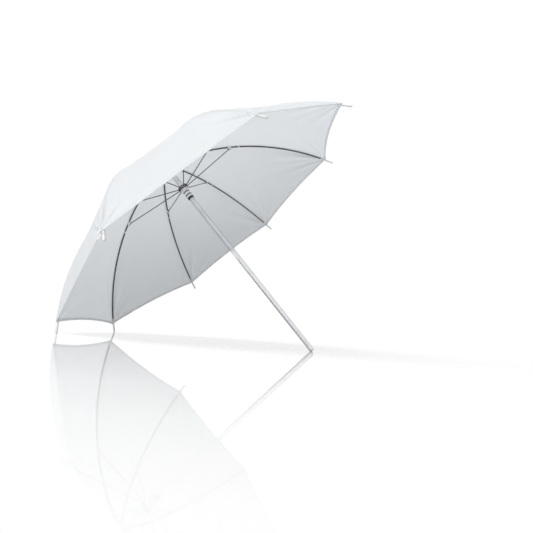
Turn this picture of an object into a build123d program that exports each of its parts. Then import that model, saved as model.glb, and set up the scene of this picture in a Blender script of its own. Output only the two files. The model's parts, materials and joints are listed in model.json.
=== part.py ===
"""Translucent photographic umbrella, 84 cm along the arc, with an eight-rib folding frame.

Everything is first modelled about the shaft: Z runs from the crown to the free end of the
shaft, the plane z = 0 holds the rib pivots, and each rib lies in a plane through the Z axis.
The whole umbrella is then laid down the way it rests open on a floor, on the tips of ribs
1 and 8 and on the end of its shaft.
"""
from build123d import *
from math import acos, atan2, cos, degrees, hypot, radians, sin, sqrt
import os

# ---- driving dimensions, millimetres and degrees ----
RIB_COUNT = 8
TIP_RADIUS = 363.2            # canopy corner from the shaft's axis
TIP_DEPTH = 181.5             # canopy corner below the rib pivots
JOINT_RADIUS = 161.5          # where the stretcher clip sits on the rib
JOINT_DEPTH = 30.5
JOINT_SLOPE = radians(21.3)   # slope of the rib at the clip
HUB_PIVOT_RADIUS = 8.0
RUNNER_PIVOT_RADIUS = 11.0
RUNNER_PIVOT_DEPTH = 66.5
STRETCHER_DROP = 3.8          # stretcher pivot inside the rib's centre line
TIP_RADIUS_FOLDED = 11.0      # ball of a rib tip from the shaft's axis when folded

SHAFT_RADIUS = 5.0
SHAFT_BORE = 4.0
SHAFT_TOP = -12.0
SHAFT_END = 516.0
RUNNING_FIT = 0.06
LOOSE_FIT = 0.1
SLOT_FIT = 0.6                # blade or rib eye in its slot, both sides together
OVERRUN = 1.0                 # how far a cutter runs past the piece it cuts

STOP_GROOVE = (338.0, 341.0)  # rolled groove that keeps the runner off the holder's grip
STOP_GROOVE_RADIUS = 4.6
CAP_STEM = 12.0

CROWN_RIVET_RADIUS = 1.0
CROWN_RIVET_DEPTH = 4.4
STOP_PIN_RADIUS = 1.1
STOP_PIN_DEPTH = 62.2
PIN_REACH = 6.6               # half the length of the two long pins
NOTCH_TOP = -3.6
NOTCH_FIN_END = 1.5
NOTCH_CORE_END = 7.0
NOTCH_RADIUS = 10.0
NOTCH_CORE_RADIUS = 6.0
NOTCH_SLOT_TOP = -2.4
WASHER_TOP = -4.4
PATCH_TOP = -5.2
PATCH_RADIUS = 22.0
FERRULE_TOP = -24.0
FERRULE_RADIUS = 7.0
FERRULE_FLANGE = 9.0
FERRULE_NOSE = 5.0
FERRULE_FLANGE_HEIGHT = 1.6
FERRULE_TAPER_END = 3.0
FERRULE_DRAFT = 1.0

CATCH_NOSE = 98.0
CATCH_PIVOT = 118.0
CATCH_WIDTH = 2.0
CATCH_NOSE_GAP = 0.3          # between the blade's nose and the runner it holds
CATCH_REACH = 7.2             # tip of the nose from the shaft's axis
CATCH_SHOULDER = 4.0
CATCH_SHOULDER_LENGTH = 6.0
CATCH_ROOT = 1.2              # half the blade's depth round its pin
CATCH_BACK = 1.6
CATCH_TAIL = 1.8
CATCH_PIN_RADIUS = 0.8

RING_TOP = 63.5               # the runner's two dark rings, and the slots between them
RING_MIDDLE = 65.2
RING_LOW = 68.0
RING_END = 70.5
RING_RADIUS = 11.5
RING_LOW_RADIUS = 11.1
RING_CORE = 9.2
SLOT_BOTTOM = 8.2
SLOT_WIDTH = 2.6
FLANGE_END = 73.0
FLANGE_RADIUS = 9.4
BODY_RADIUS = 7.4
BODY_END = 93.5
BAND_STARTS = (78.2, 86.6)
BAND_WIDTH = 2.2
BAND_BOTTOM = 6.6
BAND_PROUD = 0.2
COLLAR_RADIUS = 7.2
COLLAR_END = 97.6
COLLAR_BEVEL = 0.8

RIB_WIDTH = 2.4
RIB_DEPTH = 2.0
RIB_WALL = 0.45
RIB_CHANNEL_START = 13.5
EYE_RADIUS = 1.7
EYE_THICKNESS = 1.6
EYE_LAP = 3.0                 # how far the eye's tongue reaches into the channel
WIRE_RADIUS = 0.6
CLIP_LENGTH = 9.0
CLIP_WALL = 0.6
THREAD_CLIP_LENGTH = 4.0
THREAD_CLIP_WALL = 0.5
THREAD_CLIP_DISTANCE = 24.0   # from the stretcher clip, along the rib

STRETCHER_RADIUS = 1.0
STRETCHER_EYE = 2.2
STRETCHER_EYE_THICKNESS = 1.9
STRETCHER_TONGUE = 1.4
RIVET_RADIUS = 1.0
RIVET_HEAD = 1.7
RIVET_HEAD_HEIGHT = 0.5

TIP_CUP_RADIUS = 2.2
TIP_CUP_BACK = 14.0
TIP_CUP_FRONT = 4.0
TIP_NECK_RADIUS = 1.9
TIP_NECK_LENGTH = 1.4
TIP_FLARE_LENGTH = 1.0
TIP_BALL_RADIUS = 2.5
TIP_BALL_DISTANCE = 17.6

FABRIC_INNER = 2.6            # fabric's inner face, outwards from the rib's centre line
FABRIC_THICKNESS = 0.6
FABRIC_START_RADIUS = 13.5
PANEL_GAP = 0.15              # half the gap between two panels
INNER_STEPS = 3               # spline points of the fabric's profile, inside the clips and outside
OUTER_STEPS = 6
STRAP_LENGTH = 16.0           # along the rib
STRAP_REACH = 14.0            # along the hem
STRAP_TAPE = 3.2
STRAP_CORNER = 1.0            # corner radius inside the loop
STRAP_THICKNESS = 1.0
STRAP_SIDE = 9.5              # middle of the loop from its rib
STRAP_BACK = 1.5
STRAP_RIB = 7

# ---- worked out from the driving dimensions ----
HALF_GORE = 180.0 / RIB_COUNT
RUNNER_BORE = SHAFT_RADIUS + RUNNING_FIT
INNER_CHORD = hypot(JOINT_RADIUS - HUB_PIVOT_RADIUS, JOINT_DEPTH)
OUTER_CHORD = hypot(TIP_RADIUS - JOINT_RADIUS, TIP_DEPTH - JOINT_DEPTH)
HUB_SLOPE = 2 * atan2(JOINT_DEPTH, JOINT_RADIUS - HUB_PIVOT_RADIUS) - JOINT_SLOPE
TIP_SLOPE = 2 * atan2(TIP_DEPTH - JOINT_DEPTH, TIP_RADIUS - JOINT_RADIUS) - JOINT_SLOPE
INNER_BEND = INNER_CHORD / (2 * sin((JOINT_SLOPE - HUB_SLOPE) / 2))
OUTER_BEND = OUTER_CHORD / (2 * sin((TIP_SLOPE - JOINT_SLOPE) / 2))


def rib_point(slope, offset=0.0):
    """Point of the rib's centre line with this slope, moved outwards by offset."""
    bend = INNER_BEND if slope < JOINT_SLOPE else OUTER_BEND
    centre_r = JOINT_RADIUS - bend * sin(JOINT_SLOPE)
    centre_z = JOINT_DEPTH + bend * cos(JOINT_SLOPE)
    reach = bend + offset
    return (centre_r + reach * sin(slope), centre_z - reach * cos(slope))


STRETCHER_PIVOT = rib_point(JOINT_SLOPE, -STRETCHER_DROP)
RUNNER_PIVOT = (RUNNER_PIVOT_RADIUS, RUNNER_PIVOT_DEPTH)
STRETCHER_LENGTH = hypot(
    STRETCHER_PIVOT[0] - RUNNER_PIVOT[0], STRETCHER_PIVOT[1] - RUNNER_PIVOT[1]
)
TIP_BALL = (
    TIP_RADIUS + TIP_BALL_DISTANCE * cos(TIP_SLOPE),
    TIP_DEPTH + TIP_BALL_DISTANCE * sin(TIP_SLOPE),
)


def fold_travel():
    """Turn of a rib, travel of the runner and turn of a stretcher, from open to folded."""
    reach = hypot(TIP_BALL[0] - HUB_PIVOT_RADIUS, TIP_BALL[1])
    open_angle = atan2(TIP_BALL[1], TIP_BALL[0] - HUB_PIVOT_RADIUS)
    rib_turn = acos((TIP_RADIUS_FOLDED - HUB_PIVOT_RADIUS) / reach) - open_angle
    arm = hypot(STRETCHER_PIVOT[0] - HUB_PIVOT_RADIUS, STRETCHER_PIVOT[1])
    arm_angle = atan2(STRETCHER_PIVOT[1], STRETCHER_PIVOT[0] - HUB_PIVOT_RADIUS) + rib_turn
    joint_r = HUB_PIVOT_RADIUS + arm * cos(arm_angle)
    joint_z = arm * sin(arm_angle)
    drop = sqrt(STRETCHER_LENGTH**2 - (joint_r - RUNNER_PIVOT[0]) ** 2)
    slope_open = atan2(
        RUNNER_PIVOT[1] - STRETCHER_PIVOT[1], STRETCHER_PIVOT[0] - RUNNER_PIVOT[0]
    )
    slope_folded = atan2(drop, joint_r - RUNNER_PIVOT[0])
    return rib_turn, joint_z + drop - RUNNER_PIVOT[1], slope_folded - slope_open


RIB_TURN, RUNNER_TRAVEL, STRETCHER_TURN = fold_travel()


# ---- small helpers ----
def in_rib_plane(points):
    """Closed straight-sided face in the plane of a rib, from (radius, depth) pairs."""
    return make_face(Polyline(*[Vector(r, 0, z) for r, z in points], close=True))


def slab(face, width):
    """Solid of this width, centred on the plane of a rib."""
    return extrude(face, amount=width / 2, dir=(0, 1, 0), both=True)


def revolve_profile(points):
    """Solid of revolution about the shaft's axis, from (radius, depth) pairs."""
    return revolve(in_rib_plane(points), axis=Axis.Z)


def cross_pin(radius, half_length, r, z):
    """Round pin across the plane of a rib at (r, z)."""
    pin = Cylinder(radius, 2 * half_length)
    return Pos(r, 0, z) * Rot(90, 0, 0) * pin


def on_rib(slope, solid):
    """Move a solid made at the origin (X along the rib, Z inwards) to this slope."""
    r, z = rib_point(slope)
    return Pos(r, 0, z) * Rot(0, -degrees(slope), 0) * solid


def rib_band(inner, outer, start):
    """Face that follows the rib from the slope start to the tip, between two offsets."""
    slopes = [start, (start + JOINT_SLOPE) / 2, JOINT_SLOPE, (JOINT_SLOPE + TIP_SLOPE) / 2, TIP_SLOPE]
    top = [Vector(r, 0, z) for r, z in (rib_point(slope, outer) for slope in slopes)]
    low = [Vector(r, 0, z) for r, z in (rib_point(slope, inner) for slope in slopes)]
    edges = [ThreePointArc(*top[0:3]), ThreePointArc(*top[2:5]), Line(top[4], low[4])]
    edges += [ThreePointArc(*low[4:1:-1]), ThreePointArc(*low[2::-1]), Line(low[0], top[0])]
    return make_face(edges)


def slope_at_radius(radius):
    """Slope of the rib's inner bend at this radius."""
    centre_r = JOINT_RADIUS - INNER_BEND * sin(JOINT_SLOPE)
    return atan2(radius - centre_r, sqrt(INNER_BEND**2 - (radius - centre_r) ** 2))


# ---- shaft and crown ----
def rod(radius, start, end):
    """Round bar on the shaft's axis between two depths."""
    bar = Cylinder(radius, end - start, align=(Align.CENTER, Align.CENTER, Align.MIN))
    return Pos(0, 0, start) * bar


def shaft():
    """Tube with the catch's slot on its upper side and a rolled groove near the grip."""
    tube = rod(SHAFT_RADIUS, SHAFT_TOP, SHAFT_END)
    tube -= rod(SHAFT_BORE, SHAFT_TOP - OVERRUN, SHAFT_END + OVERRUN)
    slot_length = CATCH_PIVOT - CATCH_NOSE
    slot = Box(SHAFT_RADIUS + 2 * OVERRUN, CATCH_WIDTH + SLOT_FIT, slot_length)
    tube -= Pos(-SHAFT_RADIUS, 0, CATCH_NOSE - OVERRUN + slot_length / 2) * slot
    tube -= revolve_profile([
        (STOP_GROOVE_RADIUS, STOP_GROOVE[0]), (SHAFT_RADIUS + OVERRUN, STOP_GROOVE[0]),
        (SHAFT_RADIUS + OVERRUN, STOP_GROOVE[1]), (STOP_GROOVE_RADIUS, STOP_GROOVE[1]),
    ])
    for pin in crown_pins():
        tube -= pin
    return tube


def crown_pins():
    """Crown rivet, runner stop and catch pivot, all pressed across the shaft."""
    rivet = cross_pin(CROWN_RIVET_RADIUS, PIN_REACH, 0, CROWN_RIVET_DEPTH)
    stop = cross_pin(STOP_PIN_RADIUS, PIN_REACH, 0, STOP_PIN_DEPTH)
    pivot = cross_pin(CATCH_PIN_RADIUS, SHAFT_RADIUS - LOOSE_FIT, 0, CATCH_PIVOT)
    return [rivet, stop, pivot]


def shaft_end_cap():
    """Rounded plug that closes the free end of the shaft."""
    dome = Pos(0, 0, SHAFT_END) * Sphere(SHAFT_RADIUS)
    half = rod(SHAFT_RADIUS + OVERRUN, SHAFT_END, SHAFT_END + SHAFT_RADIUS + OVERRUN)
    return (dome & half) + rod(SHAFT_BORE, SHAFT_END - CAP_STEM, SHAFT_END)


def radial_slots(inner, outer, width, low, high):
    """One cutter for each rib, from the inner radius outwards."""
    cutters = []
    middle = Pos((inner + outer) / 2, 0, (low + high) / 2)
    block = middle * Box(outer - inner, width, high - low)
    for index in range(RIB_COUNT):
        cutters.append(Rot(0, 0, rib_azimuth(index)) * block)
    return cutters


def rib_azimuth(index):
    """Azimuth of a rib about the shaft. Ribs 1 and 8 are the two lowest."""
    return HALF_GORE + index * 2 * HALF_GORE


def crown_notch():
    """Slotted hub on the shaft that holds the eyes of the ribs."""
    body = revolve_profile([
        (SHAFT_RADIUS, NOTCH_TOP), (NOTCH_RADIUS, NOTCH_TOP), (NOTCH_RADIUS, NOTCH_FIN_END),
        (NOTCH_CORE_RADIUS, NOTCH_FIN_END), (NOTCH_CORE_RADIUS, NOTCH_CORE_END),
        (SHAFT_RADIUS, NOTCH_CORE_END),
    ])
    groove_half = WIRE_RADIUS + LOOSE_FIT
    groove = revolve_profile([
        (HUB_PIVOT_RADIUS - groove_half, -groove_half), (NOTCH_RADIUS + OVERRUN, -groove_half),
        (NOTCH_RADIUS + OVERRUN, groove_half), (HUB_PIVOT_RADIUS - groove_half, groove_half),
    ])
    body -= groove
    width = EYE_THICKNESS + SLOT_FIT
    rim = NOTCH_RADIUS + OVERRUN
    for slot in radial_slots(NOTCH_CORE_RADIUS, rim, width, NOTCH_SLOT_TOP, NOTCH_CORE_END + OVERRUN):
        body -= slot
    return body - crown_pins()[0]


def crown_wire():
    """Wire ring that threads the eyes of all the ribs."""
    return Torus(HUB_PIVOT_RADIUS, WIRE_RADIUS)


def crown_washer():
    return revolve_profile([
        (SHAFT_RADIUS, WASHER_TOP), (NOTCH_RADIUS, WASHER_TOP),
        (NOTCH_RADIUS, NOTCH_TOP), (SHAFT_RADIUS, NOTCH_TOP),
    ])


def crown_patch():
    """Round double layer of fabric that covers the middle of the canopy."""
    return revolve_profile([
        (SHAFT_RADIUS, PATCH_TOP), (PATCH_RADIUS, PATCH_TOP),
        (PATCH_RADIUS, WASHER_TOP), (SHAFT_RADIUS, WASHER_TOP),
    ])


def ferrule():
    """Moulded cap pressed on the top of the shaft, which clamps the canopy."""
    cap = revolve_profile([
        (0, FERRULE_TOP), (FERRULE_RADIUS - FERRULE_DRAFT, FERRULE_TOP),
        (FERRULE_RADIUS, PATCH_TOP - FERRULE_TAPER_END),
        (FERRULE_FLANGE, PATCH_TOP - FERRULE_FLANGE_HEIGHT), (FERRULE_FLANGE, PATCH_TOP),
        (0, PATCH_TOP),
    ])
    socket = rod(SHAFT_RADIUS, SHAFT_TOP, PATCH_TOP + OVERRUN)
    rim = cap.edges().group_by(Axis.Z)[0]
    return fillet(rim, FERRULE_NOSE) - socket


# ---- runner and catch ----
def slotted_disc(top, end, radius):
    """Disc on the shaft with an open slot for each stretcher."""
    disc = revolve_profile([(RUNNER_BORE, top), (radius, top), (radius, end), (RUNNER_BORE, end)])
    for slot in radial_slots(SLOT_BOTTOM, RING_RADIUS + OVERRUN, SLOT_WIDTH, top - OVERRUN, end + OVERRUN):
        disc -= slot
    return disc


def runner_ring():
    """Two dark rings on the top of the runner, as separate pieces."""
    upper = slotted_disc(RING_TOP, RING_MIDDLE, RING_RADIUS)
    lower = slotted_disc(RING_LOW, RING_END, RING_LOW_RADIUS)
    return [upper, lower]


def band_profile(start, radius):
    """Section of a grip band, from the bottom of its groove to this radius."""
    end = start + BAND_WIDTH
    return [(BAND_BOTTOM, start), (radius, start), (radius, end), (BAND_BOTTOM, end)]


def runner_body():
    """Spacer between the two rings, and the sliding sleeve with grooves for its grip bands."""
    spacer = slotted_disc(RING_MIDDLE, RING_LOW, RING_CORE)
    sleeve = revolve_profile([
        (RUNNER_BORE, RING_END), (FLANGE_RADIUS, RING_END), (FLANGE_RADIUS, FLANGE_END),
        (BODY_RADIUS, FLANGE_END), (BODY_RADIUS, BODY_END), (RUNNER_BORE, BODY_END),
    ])
    for start in BAND_STARTS:
        sleeve -= revolve_profile(band_profile(start, BODY_RADIUS + OVERRUN))
    return [spacer, sleeve]


def runner_bands():
    """Two grip bands let into the sleeve, as separate pieces."""
    return [revolve_profile(band_profile(start, BODY_RADIUS + BAND_PROUD)) for start in BAND_STARTS]


def runner_collar():
    return revolve_profile([
        (RUNNER_BORE, BODY_END), (COLLAR_RADIUS, BODY_END),
        (COLLAR_RADIUS, COLLAR_END - COLLAR_BEVEL), (COLLAR_RADIUS - COLLAR_BEVEL, COLLAR_END),
        (RUNNER_BORE, COLLAR_END),
    ])


def catch_blade():
    """Sprung blade in the shaft's slot, whose nose holds the runner open."""
    nose = CATCH_NOSE + CATCH_NOSE_GAP
    tail = CATCH_PIVOT + CATCH_TAIL
    blade = in_rib_plane([
        (-CATCH_REACH, nose), (-CATCH_ROOT, nose), (CATCH_BACK, CATCH_PIVOT - CATCH_ROOT),
        (CATCH_ROOT, tail), (-CATCH_ROOT, tail),
        (-CATCH_SHOULDER, CATCH_PIVOT - CATCH_SHOULDER_LENGTH),
    ])
    hole = cross_pin(CATCH_PIN_RADIUS + RUNNING_FIT, CATCH_WIDTH, 0, CATCH_PIVOT)
    return slab(blade, CATCH_WIDTH) - hole


# ---- ribs ----
def rib():
    """Steel channel, open inwards, with a flat eye at the crown."""
    start = slope_at_radius(RIB_CHANNEL_START)
    half = RIB_DEPTH / 2
    channel = slab(rib_band(-half, half, start), RIB_WIDTH)
    channel -= slab(rib_band(-half - RUNNING_FIT, half - RIB_WALL, start), RIB_WIDTH - 2 * RIB_WALL)
    eye = cross_pin(EYE_RADIUS, EYE_THICKNESS / 2, HUB_PIVOT_RADIUS, 0)
    reach = RIB_CHANNEL_START - HUB_PIVOT_RADIUS + EYE_LAP
    tongue = Box(reach, EYE_THICKNESS, RIB_DEPTH - LOOSE_FIT, align=(Align.MIN, Align.CENTER, Align.CENTER))
    tongue = Pos(HUB_PIVOT_RADIUS, 0, 0) * Rot(0, -degrees(HUB_SLOPE), 0) * tongue
    hole = cross_pin(WIRE_RADIUS + LOOSE_FIT, EYE_THICKNESS, HUB_PIVOT_RADIUS, 0)
    return channel + eye + tongue - hole


def rib_hardware():
    """Stretcher clip, its rivet and the thread clip further out, as separate pieces."""
    clip_half = RIB_WIDTH / 2 + CLIP_WALL
    top = RIB_DEPTH / 2
    foot = STRETCHER_DROP + RIVET_HEAD + 2 * LOOSE_FIT
    outside = Box(CLIP_LENGTH, 2 * clip_half, foot + top + CLIP_WALL)
    inside = Box(CLIP_LENGTH + OVERRUN, RIB_WIDTH, foot + top)
    clip = Pos(0, 0, (foot - top - CLIP_WALL) / 2) * outside - Pos(0, 0, (foot - top) / 2) * inside
    rivet = cross_pin(RIVET_RADIUS, clip_half + RIVET_HEAD_HEIGHT, 0, STRETCHER_DROP)
    for side in (-1, 1):
        head = cross_pin(RIVET_HEAD, RIVET_HEAD_HEIGHT / 2, 0, STRETCHER_DROP)
        rivet += Pos(0, side * (clip_half + RIVET_HEAD_HEIGHT / 2), 0) * head
    clip -= rivet
    wall = 2 * THREAD_CLIP_WALL
    thread = Box(THREAD_CLIP_LENGTH, RIB_WIDTH + wall, RIB_DEPTH + wall)
    thread -= Box(THREAD_CLIP_LENGTH + OVERRUN, RIB_WIDTH, RIB_DEPTH)
    thread_slope = JOINT_SLOPE + THREAD_CLIP_DISTANCE / OUTER_BEND
    return [on_rib(JOINT_SLOPE, clip), on_rib(JOINT_SLOPE, rivet), on_rib(thread_slope, thread)]


def rib_tip():
    """Moulded cup on the end of the rib, necked where the canopy is tied, with a rounded end."""
    neck = TIP_CUP_FRONT + TIP_NECK_LENGTH
    flare = neck + TIP_FLARE_LENGTH
    half = Polyline(
        (-TIP_CUP_BACK, 0), (-TIP_CUP_BACK, TIP_CUP_RADIUS), (TIP_CUP_FRONT, TIP_CUP_RADIUS),
        (TIP_CUP_FRONT, TIP_NECK_RADIUS), (neck, TIP_NECK_RADIUS), (flare, TIP_CUP_RADIUS),
        (TIP_BALL_DISTANCE, TIP_CUP_RADIUS), (TIP_BALL_DISTANCE, 0), close=True,
    )
    body = revolve(make_face(half), axis=Axis.X)
    body += Pos(TIP_BALL_DISTANCE, 0, 0) * Sphere(TIP_BALL_RADIUS)
    socket = Box(TIP_CUP_BACK + OVERRUN, RIB_WIDTH + 2 * LOOSE_FIT, RIB_DEPTH + 3 * LOOSE_FIT)
    return on_rib(TIP_SLOPE, body - Pos(-(TIP_CUP_BACK + OVERRUN) / 2, 0, 0) * socket)


def stretcher():
    """Round wire with a flat eye at the rib and a flat tongue at the runner."""
    dx = RUNNER_PIVOT[0] - STRETCHER_PIVOT[0]
    dz = RUNNER_PIVOT[1] - STRETCHER_PIVOT[1]
    along = Pos(STRETCHER_PIVOT[0], 0, STRETCHER_PIVOT[1]) * Rot(0, -degrees(atan2(dz, dx)), 0)
    wire = Pos(1, 0, 0) * Rot(0, 90, 0) * Cylinder(
        STRETCHER_RADIUS, STRETCHER_LENGTH - 1, align=(Align.CENTER, Align.CENTER, Align.MIN)
    )
    eye = cross_pin(STRETCHER_EYE, STRETCHER_EYE_THICKNESS / 2, 0, 0)
    tongue = cross_pin(STRETCHER_TONGUE, STRETCHER_RADIUS, STRETCHER_LENGTH, 0)
    hole = cross_pin(RIVET_RADIUS + RUNNING_FIT, STRETCHER_EYE_THICKNESS, 0, 0)
    return along * (wire + eye + tongue - hole)


# ---- canopy ----
def fabric_band():
    """Section of the fabric half way between two ribs."""
    start = slope_at_radius(FABRIC_START_RADIUS)
    shrink = cos(radians(HALF_GORE))
    lines = []
    for offset in (FABRIC_INNER, FABRIC_INNER + FABRIC_THICKNESS):
        slopes = [start + (JOINT_SLOPE - start) * i / INNER_STEPS for i in range(INNER_STEPS)]
        rise = (TIP_SLOPE - JOINT_SLOPE) / OUTER_STEPS
        slopes += [JOINT_SLOPE + rise * i for i in range(OUTER_STEPS + 1)]
        points = [rib_point(slope, offset) for slope in slopes]
        lines.append(Spline(*[Vector(r * shrink, 0, z) for r, z in points]))
    ends = [Line(lines[0] @ 0, lines[1] @ 0), Line(lines[0] @ 1, lines[1] @ 1)]
    return make_face([*lines, *ends])


def canopy_panel():
    """Fabric on both sides of one rib, out to the middles of its two gores."""
    width = (TIP_RADIUS + TIP_BALL_DISTANCE) * sin(radians(HALF_GORE))
    half = Pos(0, -PANEL_GAP, 0) * extrude(fabric_band(), amount=width, dir=(0, -1, 0))
    across = (sin(radians(HALF_GORE)), cos(radians(HALF_GORE)), 0)
    rib_plane = Plane(origin=(0, 0, 0), x_dir=(0, 0, 1), z_dir=across)
    half = split(half, bisect_by=rib_plane, keep=Keep.TOP)
    half = Rot(0, 0, HALF_GORE) * half
    return half + mirror(half, about=Plane.XZ)


def closing_strap():
    """Loop of tape sewn to the hem beside one rib tip, lying flat on the outside of the fabric."""
    loop = RectangleRounded(STRAP_LENGTH, STRAP_REACH, STRAP_TAPE + STRAP_CORNER)
    loop -= RectangleRounded(STRAP_LENGTH - 2 * STRAP_TAPE, STRAP_REACH - 2 * STRAP_TAPE, STRAP_CORNER)
    band = Pos(-STRAP_BACK, STRAP_SIDE, 0) * extrude(loop, amount=STRAP_THICKNESS / 2, both=True)
    r, z = rib_point(TIP_SLOPE, FABRIC_INNER + FABRIC_THICKNESS + STRAP_THICKNESS)
    return Pos(r, 0, z) * Rot(0, 0, HALF_GORE) * Rot(0, -degrees(TIP_SLOPE), 0) * band


# ---- the resting attitude ----
def resting_tilt():
    """Angle of the shaft below the horizontal, on the two lowest tips and the shaft's end."""
    run = TIP_BALL[0] * cos(radians(HALF_GORE))
    rise = SHAFT_END - TIP_BALL[1]
    lean = acos((SHAFT_RADIUS - TIP_BALL_RADIUS) / hypot(run, rise))
    return lean - atan2(rise, run)


TILT = resting_tilt()


def resting_plane():
    """Plane of the rib pivots, as the umbrella rests, centred over its own box."""
    down_share = cos(radians(HALF_GORE))
    back_slope = atan2(down_share * sin(TILT), cos(TILT))
    back_r, back_z = rib_point(back_slope, FABRIC_INNER + FABRIC_THICKNESS)
    low_x = back_z * cos(TILT) - back_r * down_share * sin(TILT)
    high_x = TIP_BALL[1] * cos(TILT) + TIP_BALL[0] * down_share * sin(TILT) + TIP_BALL_RADIUS
    return Plane(
        origin=(-(low_x + high_x) / 2, 0, SHAFT_END * sin(TILT) + SHAFT_RADIUS),
        x_dir=(-sin(TILT), 0, -cos(TILT)), z_dir=(cos(TILT), 0, -sin(TILT)),
    )


def build_nodes():
    """Every node about the shaft's axis, by name."""
    nodes = {
        "shaft": shaft(), "shaft_end_cap": shaft_end_cap(), "shaft_pins": crown_pins(),
        "crown_notch": crown_notch(), "crown_wire": crown_wire(), "crown_washer": crown_washer(),
        "crown_patch": crown_patch(), "ferrule": ferrule(), "catch_blade": catch_blade(),
        "runner_ring": runner_ring(), "runner_body": runner_body(),
        "runner_bands": runner_bands(), "runner_collar": runner_collar(),
    }
    repeated = {
        "rib": rib(), "rib_hardware": rib_hardware(), "rib_tip": rib_tip(),
        "stretcher": stretcher(), "canopy_panel": canopy_panel(),
    }
    for index in range(RIB_COUNT):
        turn = Rot(0, 0, rib_azimuth(index))
        for name, piece in repeated.items():
            pieces = piece if isinstance(piece, list) else [piece]
            nodes[f"{name}_{index + 1}"] = [turn * solid for solid in pieces]
    nodes["closing_strap"] = Rot(0, 0, rib_azimuth(STRAP_RIB - 1)) * closing_strap()
    return nodes


def main():
    os.makedirs("parts", exist_ok=True)
    rest = resting_plane().location
    for name, piece in build_nodes().items():
        pieces = piece if isinstance(piece, list) else [piece]
        placed = [rest * solid for solid in pieces]
        export_step(Compound(children=placed) if len(placed) > 1 else placed[0], f"parts/{name}.step")


main()
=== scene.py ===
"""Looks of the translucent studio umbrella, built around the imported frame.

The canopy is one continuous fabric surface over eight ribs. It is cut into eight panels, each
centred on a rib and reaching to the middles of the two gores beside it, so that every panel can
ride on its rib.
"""
import json
from math import atan2, cos, hypot, pi, radians, sin, tan

import bpy
import numpy as np
from mathutils import Matrix, Vector


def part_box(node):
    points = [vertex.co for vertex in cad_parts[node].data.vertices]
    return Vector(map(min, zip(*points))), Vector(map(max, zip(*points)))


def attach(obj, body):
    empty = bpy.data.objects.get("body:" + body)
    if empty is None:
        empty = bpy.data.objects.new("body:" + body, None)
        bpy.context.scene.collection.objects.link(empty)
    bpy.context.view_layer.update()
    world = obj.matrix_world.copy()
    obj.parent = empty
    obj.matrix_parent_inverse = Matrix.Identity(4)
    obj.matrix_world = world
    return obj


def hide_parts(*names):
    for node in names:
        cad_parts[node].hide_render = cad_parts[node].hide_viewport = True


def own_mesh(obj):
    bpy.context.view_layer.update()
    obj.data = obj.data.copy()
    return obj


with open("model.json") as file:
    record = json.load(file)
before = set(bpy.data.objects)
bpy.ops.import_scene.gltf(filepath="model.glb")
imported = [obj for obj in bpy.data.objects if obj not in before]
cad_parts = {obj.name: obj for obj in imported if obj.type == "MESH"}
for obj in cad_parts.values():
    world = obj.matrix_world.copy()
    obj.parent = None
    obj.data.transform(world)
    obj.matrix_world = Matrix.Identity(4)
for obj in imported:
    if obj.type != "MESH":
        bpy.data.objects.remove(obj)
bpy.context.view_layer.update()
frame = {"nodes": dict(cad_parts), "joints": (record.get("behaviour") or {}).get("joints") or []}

# ---------------------------------------------------------------- sizes, metres
RIBS = 8
HALF_GORE = pi / RIBS
TIP_RADIUS = 0.3632
TIP_DEPTH = 0.1815
JOINT_RADIUS = 0.1615
JOINT_DEPTH = 0.0305
JOINT_SLOPE = radians(21.3)
HUB_RADIUS = 0.008
FABRIC_OFFSET = 0.0028        # fabric from the rib's centre line
FABRIC_START = 0.0125         # radius where the fabric leaves the crown
GORE_SAG = 0.0025             # how far a gore sags inside the straight line between its ribs
HEM_SCALLOP = (0.007, 0.006, 0.007, 0.010, 0.005, 0.001, 0.004, 0.007)  # hem's curve, gore by gore
SCALLOP_START = 6             # power of the share at which the hem's curve sets in
MILLIMETRE = 0.001
HEM_WIDTH = 0.005
HEM_BACK = (8.0, 7.9, 4.0, 0.6, -0.15, -0.15, 0.6, 4.0, 7.9, 8.0)  # its section, eighths of its width
HEM_LIFT = (-0.1, -0.75, -0.8, -0.75, -0.35, 0.35, 0.75, 0.8, 0.6, 0.1)  # and millimetres outwards
HEM_ROWS = 49
SEAM_WIDTH = 0.0045
SEAM_SIDES = (-1.0, -0.9, -0.45, 0.0, 0.45, 0.9, 1.0)  # its section, shares of half its width
SEAM_LIFT = (0.05, 0.45, 0.55, 0.6, 0.55, 0.45, 0.05)  # and millimetres outwards
SEAM_ENDS = (0.03, 0.985)     # shares of the panel's length
SEAM_ROWS = 90
PATCH_RADII = (5.2, 8.0, 12.0, 16.0, 20.0, 21.5, 22.2, 21.5, 20.0)  # crown patch's section, millimetres
PATCH_DEPTHS = (-4.9, -4.9, -4.6, -4.1, -3.4, -3.0, -2.7, -2.55, -2.9)
PATCH_TURNS = 64
STRAP_RIB = 6
STRAP_LENGTH = 0.0064         # half the loop, to the middle of its tape
STRAP_REACH = 0.0054
STRAP_TAPE = 0.0016           # half the tape's width
STRAP_CORNER = 3.2            # power of the rounded loop: 2 is an ellipse
STRAP_RIPPLE = 0.0005
STRAP_TURNS = 72
FOLD_HEIGHT = 0.0028
FOLD_REACH = 0.105            # distance from a tip over which its folds fade
FOLD_CLEAR = 0.03             # and the distance over which they rise
FOLD_FAN = 0.9                # width of the fan of folds, radians
FOLD_COARSE = 11.0            # folds per radian, times two pi
FOLD_FINE = 23.0
FOLD_FINE_SHARE = 0.7
CAMERA_PLACE = (0.1436, -0.9330, 0.0377)
CAMERA_YAW = radians(-1.75)
CAMERA_PITCH = radians(8.18)
CAMERA_ROLL = radians(4.85)
LENS = 29.51                  # millimetres, on a sensor of this width
SENSOR = 36.0
FLOOR_SIZE = 60.0
AMBIENT = 0.42                # what the white surroundings give as light
KEY_POWER = 3.1
KEY_SPREAD = 50.0             # degrees across
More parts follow.
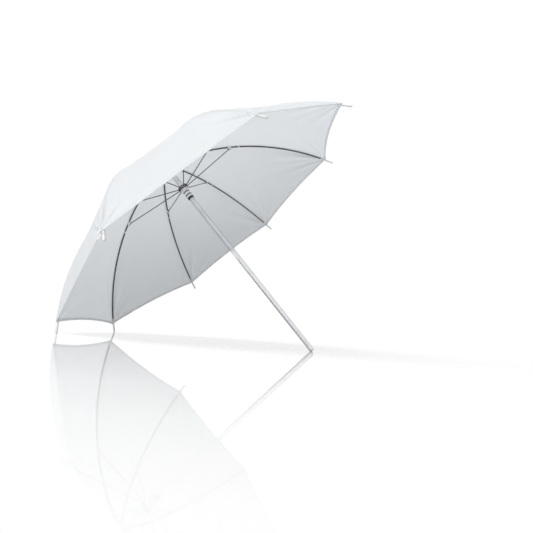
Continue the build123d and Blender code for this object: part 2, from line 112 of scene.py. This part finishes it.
KEY_FROM = (-0.5, -0.65, 0.95)
ALONG = 110                   # faces from crown to hem
ACROSS = 72                   # faces from mid gore to mid gore

# ---------------------------------------------------------------- the umbrella's own axes
JOINTS = {j["name"]: j for j in frame["joints"]}
AXIS = Vector(JOINTS["runner_slide"]["axis"]).normalized()
PIVOTS = [Vector(JOINTS[f"rib_hinge_{i + 1}"]["pos_m"]) for i in range(RIBS)]
HUB = sum(PIVOTS, Vector()) / RIBS
FIRST = (PIVOTS[0] - HUB).normalized()
SIDE = AXIS.cross(FIRST)


def outward(angle):
    """Unit vector away from the shaft, at an angle about it counted from rib 1."""
    return FIRST * cos(angle) + SIDE * sin(angle)


def sideways(angle):
    """Unit vector round the shaft at that angle."""
    return SIDE * cos(angle) - FIRST * sin(angle)


def rib_angle(index):
    return 2 * HALF_GORE * index


# ---------------------------------------------------------------- the rib's curve
INNER_CHORD = hypot(JOINT_RADIUS - HUB_RADIUS, JOINT_DEPTH)
OUTER_CHORD = hypot(TIP_RADIUS - JOINT_RADIUS, TIP_DEPTH - JOINT_DEPTH)
HUB_SLOPE = 2 * atan2(JOINT_DEPTH, JOINT_RADIUS - HUB_RADIUS) - JOINT_SLOPE
TIP_SLOPE = 2 * atan2(TIP_DEPTH - JOINT_DEPTH, TIP_RADIUS - JOINT_RADIUS) - JOINT_SLOPE
INNER_BEND = INNER_CHORD / (2 * sin((JOINT_SLOPE - HUB_SLOPE) / 2))
OUTER_BEND = OUTER_CHORD / (2 * sin((TIP_SLOPE - JOINT_SLOPE) / 2))
INNER_ARC = INNER_BEND * (JOINT_SLOPE - HUB_SLOPE)
RIB_ARC = INNER_ARC + OUTER_BEND * (TIP_SLOPE - JOINT_SLOPE)
START_ARC = FABRIC_START - HUB_RADIUS


def rib_slope(arc):
    """Slope of the rib at this length along it, for an array of lengths."""
    inner = HUB_SLOPE + arc / INNER_BEND
    outer = JOINT_SLOPE + (arc - INNER_ARC) / OUTER_BEND
    return np.where(arc < INNER_ARC, inner, outer)


def rib_curve(arc, offset=0.0):
    """(radius, depth) of the rib at this length along it, moved outwards by offset."""
    slope = rib_slope(arc)
    bend = np.where(arc < INNER_ARC, INNER_BEND, OUTER_BEND)
    centre_r = JOINT_RADIUS - bend * sin(JOINT_SLOPE)
    centre_z = JOINT_DEPTH + bend * cos(JOINT_SLOPE)
    return centre_r + (bend + offset) * np.sin(slope), centre_z - (bend + offset) * np.cos(slope)


# ---------------------------------------------------------------- fabric surface
rng = np.random.default_rng(11)
FOLDS = [(rng.uniform(0.6, 1.0), rng.uniform(0, 2 * pi), rng.uniform(0, 2 * pi)) for _ in range(RIBS)]


def fold_height(tip, distance, bearing):
    """Height of the small pulls that fan out from one rib tip into its two gores."""
    strength, phase_a, phase_b = FOLDS[tip % RIBS]
    fade = np.exp(-((distance / FOLD_REACH) ** 2)) * np.clip(distance / FOLD_CLEAR, 0, 1)
    waves = np.sin(FOLD_COARSE * bearing + phase_a)
    waves = waves + FOLD_FINE_SHARE * np.sin(FOLD_FINE * bearing + phase_b)
    return FOLD_HEIGHT * strength * fade * waves * np.exp(-((bearing / FOLD_FAN) ** 2))


def gore_point(gore, share, across, lift=0.0):
    """Points of the fabric in the gore after a rib.

    share runs from 0 at the crown to 1 at the hem, across from -0.5 at the gore's first rib
    to 0.5 at its second. lift moves the points outwards.
    """
    middle = 1 - 4 * across**2
    scallop = HEM_SCALLOP[gore % RIBS] * middle * share**SCALLOP_START
    arc = START_ARC + (RIB_ARC - START_ARC) * share - scallop
    radius, depth = rib_curve(arc, FABRIC_OFFSET)
    slope = rib_slope(arc)
    sag = GORE_SAG * middle * np.sin(pi * np.clip(share, 0, 1)) ** 0.8
    half_width = radius * sin(HALF_GORE)
    y = 2 * across * half_width
    tip_radius, tip_depth = rib_curve(np.array(RIB_ARC), FABRIC_OFFSET)
    tip_half = float(tip_radius) * sin(HALF_GORE)
    back = RIB_ARC - arc
    for end, sign in ((gore, -1), (gore + 1, 1)):
        reach = y - sign * tip_half
        distance = np.hypot(reach, back)
        bearing = np.arctan2(-sign * reach, back + 1e-6)
        sag = sag + fold_height(end, distance, bearing) * np.clip(middle * 9, 0, 1)
    shift = lift - sag
    r = radius * cos(HALF_GORE) + shift * np.sin(slope)
    z = depth - shift * np.cos(slope)
    angle = rib_angle(gore) + HALF_GORE
    e, t = np.array(outward(angle)), np.array(sideways(angle))
    return np.array(HUB) + r[..., None] * e + y[..., None] * t + z[..., None] * np.array(AXIS)


def panel_point(rib, share, across, lift=0.0):
    """Points of one panel; across runs from -1 in the middle of one gore to 1 in the next."""
    before = gore_point(rib - 1, share, np.clip(across, -1, 0) / 2 + 0.5, lift)
    after = gore_point(rib, share, np.clip(across, 0, 1) / 2 - 0.5, lift)
    return np.where((across < 0)[..., None], before, after)


def grid(rows, columns):
    """Quads of a grid of points, row by row."""
    return [
        (i * columns + j, i * columns + j + 1, (i + 1) * columns + j + 1, (i + 1) * columns + j)
        for i in range(rows - 1) for j in range(columns - 1)
    ]


def make_mesh(name, points, faces, material):
    mesh = bpy.data.meshes.new(name)
    mesh.from_pydata([tuple(p) for p in np.asarray(points).reshape(-1, 3)], [], faces)
    mesh.validate()
    mesh.polygons.foreach_set("use_smooth", [True] * len(mesh.polygons))
    mesh.materials.append(material)
    piece = bpy.data.objects.new(name, mesh)
    bpy.context.scene.collection.objects.link(piece)
    return piece


# ---------------------------------------------------------------- materials
def new_material(name):
    material = bpy.data.materials.new(name)
    material.use_nodes = True
    tree = material.node_tree
    tree.nodes.clear()
    out = tree.nodes.new("ShaderNodeOutputMaterial")
    shader = tree.nodes.new("ShaderNodeBsdfPrincipled")
    tree.links.new(shader.outputs[0], out.inputs["Surface"])
    return material, tree, shader, out


def add(tree, kind, **values):
    node = tree.nodes.new(kind)
    for key, value in values.items():
        if hasattr(node, key):
            setattr(node, key, value)
        else:
            node.inputs[key].default_value = value
    return node


def noise(tree, scale, detail=4.0, roughness=0.5):
    """Noise in the object's own coordinates, in cycles per metre."""
    place = add(tree, "ShaderNodeTexCoord")
    node = add(tree, "ShaderNodeTexNoise", Scale=scale, Detail=detail, Roughness=roughness)
    tree.links.new(place.outputs["Object"], node.inputs["Vector"])
    return node.outputs["Fac"]


def ramp(tree, source, low, high, start=0.35, end=0.65):
    """Colour that goes from low to high as the source goes from start to end."""
    node = add(tree, "ShaderNodeValToRGB")
    node.color_ramp.elements[0].position = start
    node.color_ramp.elements[0].color = (*low, 1)
    node.color_ramp.elements[1].position = end
    node.color_ramp.elements[1].color = (*high, 1)
    tree.links.new(source, node.inputs["Fac"])
    return node.outputs["Color"]


def spread(tree, source, low, high):
    """Number between low and high that follows the source."""
    node = add(tree, "ShaderNodeMapRange")
    node.inputs["To Min"].default_value = low
    node.inputs["To Max"].default_value = high
    tree.links.new(source, node.inputs["Value"])
    return node.outputs["Result"]


def bump(tree, source, strength, distance):
    node = add(tree, "ShaderNodeBump")
    node.inputs["Strength"].default_value = strength
    node.inputs["Distance"].default_value = distance
    tree.links.new(source, node.inputs["Height"])
    return node.outputs["Normal"]


def weave(tree, threads):
    """Plain weave from the cloth's own UVs, which are in metres."""
    place = add(tree, "ShaderNodeTexCoord")
    parts = []
    for direction in ("X", "Y"):
        wave = add(tree, "ShaderNodeTexWave", bands_direction=direction)
        wave.inputs["Scale"].default_value = threads
        tree.links.new(place.outputs["UV"], wave.inputs["Vector"])
        parts.append(wave.outputs["Fac"])
    mix = add(tree, "ShaderNodeMath", operation="MAXIMUM")
    tree.links.new(parts[0], mix.inputs[0])
    tree.links.new(parts[1], mix.inputs[1])
    return mix.outputs[0]


def fabric_material(name, base, glow, share, threads=700.0):
    """Thin white cloth that reflects part of the light and lets part of it through."""
    material, tree, shader, out = new_material(name)
    tone = noise(tree, 18.0, 3.0)
    colour = ramp(tree, tone, [c * 0.975 for c in base], base)
    tree.links.new(colour, shader.inputs["Base Color"])
    cloth = weave(tree, threads)
    rough = spread(tree, tone, 0.62, 0.8)
    tree.links.new(rough, shader.inputs["Roughness"])
    shader.inputs["Specular IOR Level"].default_value = 0.25
    shader.inputs["Sheen Weight"].default_value = 0.15
    shader.inputs["Sheen Roughness"].default_value = 0.4
    normal = bump(tree, cloth, 0.15, 0.0001)
    tree.links.new(normal, shader.inputs["Normal"])
    through = add(tree, "ShaderNodeBsdfTranslucent")
    through.inputs["Color"].default_value = (*glow, 1)
    mix = add(tree, "ShaderNodeMixShader")
    mix.inputs["Fac"].default_value = share
    tree.links.new(shader.outputs[0], mix.inputs[1])
    tree.links.new(through.outputs[0], mix.inputs[2])
    tree.links.new(mix.outputs[0], out.inputs["Surface"])
    return material


def solid_material(name, dark, light, rough, metallic=0.0, grain=300.0, depth=0.00005, coat=0.0, edge=1.0):
    """Metal or plastic with a slightly uneven colour, roughness and surface.

    grain is in cycles per metre, depth in metres, edge is how bright a metal is at grazing angles.
    """
    material, tree, shader, _ = new_material(name)
    tone = noise(tree, grain, 5.0, 0.55)
    tree.links.new(ramp(tree, tone, dark, light), shader.inputs["Base Color"])
    tree.links.new(spread(tree, tone, rough[0], rough[1]), shader.inputs["Roughness"])
    fine = noise(tree, grain * 9, 3.0, 0.5)
    tree.links.new(bump(tree, fine, 0.25, depth), shader.inputs["Normal"])
    shader.inputs["Metallic"].default_value = metallic
    shader.inputs["Coat Weight"].default_value = coat
    shader.inputs["Coat Roughness"].default_value = 0.15
    shader.inputs["Specular Tint"].default_value = (edge, edge, edge, 1)
    return material


MATERIALS = {
    "canopy": fabric_material("canopy_cloth", (0.78, 0.79, 0.80), (0.75, 0.785, 0.81), 0.42),
    "trim": fabric_material("trim_cloth", (0.88, 0.895, 0.91), (0.93, 0.945, 0.96), 0.55),
    "white_tape": fabric_material("white_tape", (0.90, 0.90, 0.90), (0.5, 0.5, 0.5), 0.12, 500.0),
    # edge=0.0 takes the tube's brightness away at grazing angles, so it darkens towards its outline: a
    # painted dark reflection along its edges.
    "shaft": solid_material(
        "polished_tube", (0.68, 0.69, 0.71), (0.78, 0.79, 0.81), rough=(0.06, 0.11),
        metallic=1.0, grain=60.0, depth=0.00001, edge=0.0,
    ),
    "bright": solid_material(
        "zinc_steel", (0.55, 0.56, 0.58), (0.78, 0.79, 0.80), rough=(0.22, 0.36),
        metallic=1.0, grain=240.0, depth=0.00003,
    ),
    "rib": solid_material(
        "blued_steel", (0.08, 0.082, 0.086), (0.14, 0.142, 0.148), rough=(0.28, 0.42),
        metallic=0.7, grain=160.0, depth=0.00003,
    ),
    "black": solid_material(
        "black_moulding", (0.012, 0.012, 0.013), (0.03, 0.03, 0.032), rough=(0.32, 0.45),
    ),
    "runner": solid_material(
        "grey_moulding", (0.66, 0.67, 0.68), (0.76, 0.77, 0.78), rough=(0.25, 0.36), coat=0.2,
    ),
    # The rib tips are white mouldings given a greyer copy of the white moulding: painted shade for the
    # umbrella's shadow on them.
    "tip": solid_material(
        "tip_moulding_painted_shade", (0.60, 0.605, 0.61), (0.70, 0.705, 0.71), rough=(0.28, 0.40), coat=0.2,
    ),
    "white": solid_material(
        "white_moulding", (0.80, 0.80, 0.79), (0.88, 0.88, 0.87), rough=(0.28, 0.40), coat=0.2,
    ),
}


def paint(nodes, material):
    for node in nodes:
        slots = frame["nodes"][node].data.materials
        slots.clear()
        slots.append(MATERIALS[material])


def paint_frame():
    paint(["shaft", "shaft_end_cap"], "shaft")
    paint(["shaft_pins", "crown_wire", "catch_blade"], "bright")
    # Black bands sit in the runner's two grooves and darken them to the collar's black.
    paint(["crown_notch", "runner_ring", "runner_bands", "runner_collar"], "black")
    paint(["runner_body"], "runner")
    paint(["crown_washer", "ferrule"], "white")
    for i in range(1, RIBS + 1):
        paint([f"rib_{i}", f"stretcher_{i}"], "rib")
        paint([f"rib_hardware_{i}"], "bright")
        paint([f"rib_tip_{i}"], "tip")


# ---------------------------------------------------------------- canopy pieces
def set_uv(piece, u, v):
    """UVs in metres of cloth, so that the weave has its real scale."""
    layer = piece.data.uv_layers.new(name="UVMap")
    index = np.zeros(len(piece.data.loops), int)
    piece.data.loops.foreach_get("vertex_index", index)
    flat = np.stack([u.ravel()[index], v.ravel()[index]], 1)
    layer.data.foreach_set("uv", flat.ravel().astype(np.float32))


def surface_normals(rib, share, across):
    """Outward normals of the whole fabric, so that panels shade as one piece where they meet."""
    step = 1e-3
    gores = []
    for gore, shift in ((rib - 1, 0.5), (rib, -0.5)):
        base = np.clip(across, -1, 0) / 2 if shift > 0 else np.clip(across, 0, 1) / 2
        a = base + shift
        du = gore_point(gore, share, a + step) - gore_point(gore, share, a - step)
        dv = gore_point(gore, share + step, a) - gore_point(gore, share - step, a)
        n = np.cross(du, dv)
        gores.append(n / np.linalg.norm(n, axis=-1, keepdims=True))
    normal = np.where((across < 0)[..., None], gores[0], gores[1])
    seam = np.abs(across) < 1e-9
    normal[seam] = gores[0][seam] + gores[1][seam]
    away = (normal @ np.array(AXIS)) > 0
    normal[away] *= -1
    return normal / np.linalg.norm(normal, axis=-1, keepdims=True)


def canopy_panel(rib):
    """One panel of the canopy, as a single curved sheet."""
    share = np.linspace(0, 1, ALONG + 1)[:, None] * np.ones(ACROSS + 1)
    across = np.linspace(-1, 1, ACROSS + 1)[None, :] * np.ones((ALONG + 1, 1))
    points = panel_point(rib, share, across)
    piece = make_mesh(f"canopy_{rib + 1}", points, grid(ALONG + 1, ACROSS + 1), MATERIALS["canopy"])
    radius, _ = rib_curve(START_ARC + (RIB_ARC - START_ARC) * share)
    set_uv(piece, across * radius * sin(HALF_GORE), share * RIB_ARC)
    normals = surface_normals(rib, share, across)
    piece.data.normals_split_custom_set_from_vertices(normals.reshape(-1, 3).tolist())
    return piece


def strip(name, rib, shares, acrosses, lifts):
    """Narrow band of cloth whose cross-section is given at every point along it."""
    points = panel_point(rib, shares, acrosses, lifts)
    rows, columns = shares.shape
    piece = make_mesh(name, points, grid(rows, columns), MATERIALS["trim"])
    set_uv(piece, np.arange(columns)[None, :] * MILLIMETRE * np.ones((rows, 1)), shares * RIB_ARC)
    return piece


def hem(rib):
    """Hem folded round the edge of the panel."""
    back = np.array(HEM_BACK) / 8.0 * HEM_WIDTH / RIB_ARC
    along = np.ones((HEM_ROWS, 1))
    across = np.linspace(-1, 1, HEM_ROWS)[:, None] * np.ones((1, len(HEM_BACK)))
    lift = along * (np.array(HEM_LIFT) * MILLIMETRE)
    return strip(f"hem_{rib + 1}", rib, 1 - along * back[None, :], across, lift)


def seam(rib):
    """Felled seam along the rib, slightly proud of the fabric."""
    share = np.linspace(*SEAM_ENDS, SEAM_ROWS)
    radius, _ = rib_curve(START_ARC + (RIB_ARC - START_ARC) * share)
    half_share = SEAM_WIDTH / 2 / (radius * sin(HALF_GORE))
    across = np.clip(half_share[:, None] * np.array(SEAM_SIDES)[None, :], -1, 1)
    shares = share[:, None] * np.ones((1, len(SEAM_SIDES)))
    lift = np.ones((SEAM_ROWS, 1)) * (np.array(SEAM_LIFT) * MILLIMETRE)
    return strip(f"seam_{rib + 1}", rib, shares, across, lift)


def dress_rib(rib):
    """Panel, hem and seam of one rib, riding on it."""
    body = f"rib_{rib + 1}_arm"
    panel, edge, joining = canopy_panel(rib), hem(rib), seam(rib)
    for piece in (panel, edge, joining):
        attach(piece, body)
        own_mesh(piece)
    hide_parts(f"canopy_panel_{rib + 1}")


def crown_patch():
    """Round patch over the middle of the canopy, slightly conical, with a stitched edge."""
    section = np.array([PATCH_RADII, PATCH_DEPTHS]).T * MILLIMETRE
    points = []
    for k in range(PATCH_TURNS + 1):
        away = np.array(outward(2 * pi * k / PATCH_TURNS))
        for radius, depth in section:
            points.append(np.array(HUB) + radius * away + depth * np.array(AXIS))
    faces = grid(PATCH_TURNS + 1, len(section))
    piece = make_mesh("crown_cover", points, faces, MATERIALS["trim"])
    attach(piece, "frame")
    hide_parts("crown_patch")


def closing_strap():
    """Flat loop of woven tape sewn to the hem beside one tip, slightly rumpled."""
    low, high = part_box("closing_strap")
    centre = (low + high) / 2
    angle = rib_angle(STRAP_RIB)
    along = outward(angle) * cos(TIP_SLOPE) + AXIS * sin(TIP_SLOPE)
    side = sideways(angle) * cos(HALF_GORE) - outward(angle) * sin(HALF_GORE)
    side = (side - along * side.dot(along)).normalized()
    up = along.cross(side)
    if up.dot(AXIS) > 0:
        up = -up
    points = []
    edges = (-1, -0.5, 0, 0.5, 1)
    for k in range(STRAP_TURNS + 1):
        turn = 2 * pi * k / STRAP_TURNS
        c, d = cos(turn), sin(turn)
        size = (abs(c) ** STRAP_CORNER + abs(d) ** STRAP_CORNER) ** (-1 / STRAP_CORNER)
        ripple = STRAP_RIPPLE * sin(5 * turn + 0.7)
        for edge in edges:
            x = c * size * (STRAP_LENGTH + STRAP_TAPE * edge)
            y = d * size * (STRAP_REACH + STRAP_TAPE * edge)
            points.append(centre + along * x + side * y + up * (ripple * (1 + 0.5 * edge)))
    faces = grid(STRAP_TURNS + 1, len(edges))
    piece = make_mesh("strap_loop", points, faces, MATERIALS["white_tape"])
    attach(piece, f"rib_{STRAP_RIB + 1}_arm")
    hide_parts("closing_strap")


# ---------------------------------------------------------------- floor, light and camera
def floor():
    """Plain, smooth white table top, large enough to run past the view on every side."""
    material, tree, shader, _ = new_material("studio_floor")
    tone = noise(tree, 3.0)
    colour = ramp(tree, tone, (0.87, 0.87, 0.87), (0.89, 0.89, 0.89))
    tree.links.new(colour, shader.inputs["Base Color"])
    shader.inputs["Roughness"].default_value = 0.012
    shader.inputs["Specular IOR Level"].default_value = 0.12
    half = FLOOR_SIZE / 2
    corners = [(-half, -half, 0), (half, -half, 0), (half, half, 0), (-half, half, 0)]
    make_mesh("studio_floor", corners, [(0, 1, 2, 3)], material)


def lights():
    """White surroundings, dimmer to the object than to the eye, and one broad soft source above."""
    world = bpy.data.worlds.new("studio")
    world.use_nodes = True
    tree = world.node_tree
    path = tree.nodes.new("ShaderNodeLightPath")
    seen = add(tree, "ShaderNodeMath", operation="MAXIMUM")
    tree.links.new(path.outputs["Is Camera Ray"], seen.inputs[0])
    tree.links.new(path.outputs["Is Glossy Ray"], seen.inputs[1])
    level = add(tree, "ShaderNodeMapRange")
    level.inputs["To Min"].default_value = AMBIENT
    level.inputs["To Max"].default_value = 1.0
    tree.links.new(seen.outputs[0], level.inputs["Value"])
    tree.links.new(level.outputs["Result"], tree.nodes["Background"].inputs["Strength"])
    tree.nodes["Background"].inputs["Color"].default_value = (1, 1, 1, 1)
    bpy.context.scene.world = world
    bpy.context.scene.view_settings.view_transform = "Standard"
    data = bpy.data.lights.new("softbox", "SUN")
    data.energy = KEY_POWER
    data.angle = radians(KEY_SPREAD)
    obj = bpy.data.objects.new("softbox", data)
    obj.rotation_euler = (-Vector(KEY_FROM)).to_track_quat("-Z", "Y").to_euler()
    bpy.context.scene.collection.objects.link(obj)


def camera():
    data = bpy.data.cameras.new("camera")
    data.sensor_width = SENSOR
    data.lens = LENS
    data.clip_start = 0.01
    obj = bpy.data.objects.new("camera", data)
    place = Vector(CAMERA_PLACE)
    look = Vector((sin(CAMERA_YAW), cos(CAMERA_YAW), tan(CAMERA_PITCH))).normalized()
    turn = look.to_track_quat("-Z", "Y").to_matrix()
    roll = Matrix.Rotation(-CAMERA_ROLL, 3, look)
    obj.matrix_world = Matrix.Translation(place) @ (roll @ turn).to_4x4()
    bpy.context.scene.collection.objects.link(obj)
    bpy.context.scene.camera = obj


camera()
lights()
floor()
paint_frame()
for index in range(RIBS):
    dress_rib(index)
crown_patch()
closing_strap()
